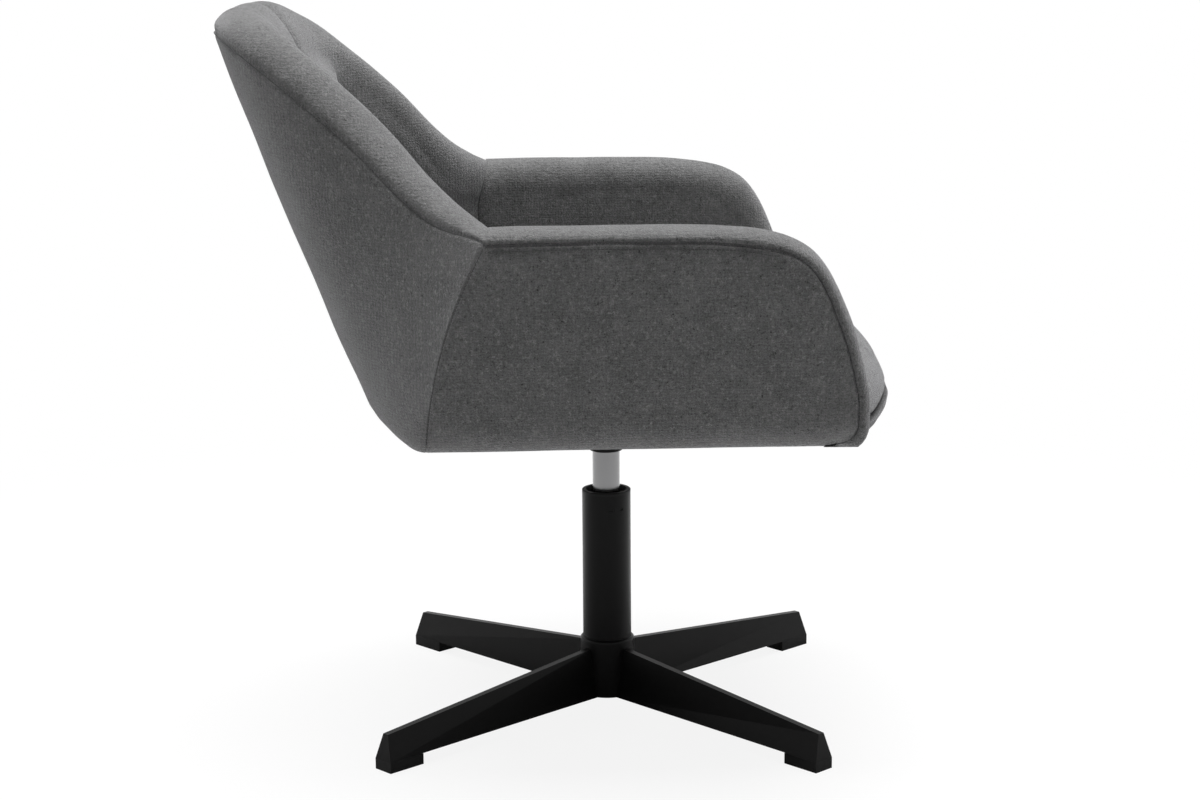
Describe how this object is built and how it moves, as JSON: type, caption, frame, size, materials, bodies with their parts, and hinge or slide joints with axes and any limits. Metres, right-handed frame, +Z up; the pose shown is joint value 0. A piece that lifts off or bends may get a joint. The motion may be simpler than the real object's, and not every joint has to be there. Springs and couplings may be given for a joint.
{
  "type": "swivel tub armchair",
  "caption": "Upholstered tub armchair with a raked padded back and low arms, on a four-legged swivel base with a gas lift and release lever.",
  "frame": {"origin": "on the floor under the swivel axis", "axes": "+Z up along the swivel axis, +X the way the seat faces, +Y the sitter's left"},
  "size_m": [0.669, 0.659, 0.7212],
  "materials": {
    "charcoal_cloth": "felted melange weave",
    "dust_cloth": "thin non-woven cloth",
    "black_powder_coat": "satin powder coat",
    "satin_chrome": "satin",
    "zinc_steel": "zinc plated",
    "bearing_steel": "ground",
    "valve_brass": "turned",
    "glide_plastic": "fine texture",
    "bush_plastic": "moulded",
    "seal_rubber": "moulded",
    "plywood": "birch plywood"
  },
  "bodies": {
    "base": {"hub": "black_powder_coat", "leg_front_left": "black_powder_coat", "leg_rear_left": "black_powder_coat", "leg_rear_right": "black_powder_coat", "leg_front_right": "black_powder_coat", "glide_front_left": "glide_plastic", "glide_rear_left": "glide_plastic", "glide_rear_right": "glide_plastic", "glide_front_right": "glide_plastic", "column_tube": "black_powder_coat", "column_end_plate": "zinc_steel", "guide_bush": "bush_plastic", "lower_race": "bearing_steel"},
    "bearing": {"bearing_cage": "valve_brass", "bearing_balls": "bearing_steel"},
    "spindle": {"upper_race": "bearing_steel", "piston_rod": "satin_chrome", "rod_clip": "zinc_steel", "piston": "zinc_steel", "piston_seal": "seal_rubber"},
    "seat": {"gas_cylinder": "satin_chrome", "rod_gland": "bush_plastic", "valve_body": "valve_brass", "taper_socket": "black_powder_coat", "swivel_plate": "black_powder_coat", "plate_bolts": "zinc_steel", "tee_nuts": "zinc_steel", "lever_pin": "zinc_steel", "seat_board": "plywood", "arm_panel_right": "plywood", "arm_panel_left": "plywood", "back_board": "plywood", "back_brackets": "zinc_steel", "panel_screws": "zinc_steel", "dust_cover": "dust_cloth", "arm_pad_right": "charcoal_cloth", "arm_pad_left": "charcoal_cloth", "back_pad": "charcoal_cloth", "front_pad": "charcoal_cloth", "seat_cushion": "charcoal_cloth"},
    "lever": {"lever_rod": "black_powder_coat", "lever_grip": "glide_plastic"},
    "valve": {"valve_pin": "zinc_steel"}
  },
  "joints": [
    {"name": "swivel", "type": "hinge", "parent": "base", "child": "spindle", "pos_m": [0, 0, 0.0267], "axis": [0, 0, 1], "continuous": true},
    {"name": "bearing_turn", "type": "hinge", "parent": "base", "child": "bearing", "pos_m": [0, 0, 0.0267], "axis": [0, 0, 1], "continuous": true},
    {"name": "lift", "type": "slide", "parent": "spindle", "child": "seat", "axis": [0, 0, 1], "range_m": [0, 0.09]},
    {"name": "lever_lift", "type": "hinge", "parent": "seat", "child": "lever", "pos_m": [0, 0.03, 0.3202], "axis": [1, 0, 0], "range_deg": [0, 5], "stiffness_Nm_per_rad": 2},
    {"name": "valve_press", "type": "slide", "parent": "seat", "child": "valve", "axis": [0, 0, -1], "range_m": [0, 0.0027]}
  ],
  "couplings": [
    {"joint": "bearing_turn", "follows": "swivel", "ratio": 0.5},
    {"joint": "valve_press", "follows": "lever_lift", "m_per_rad": 0.03}
  ]
}
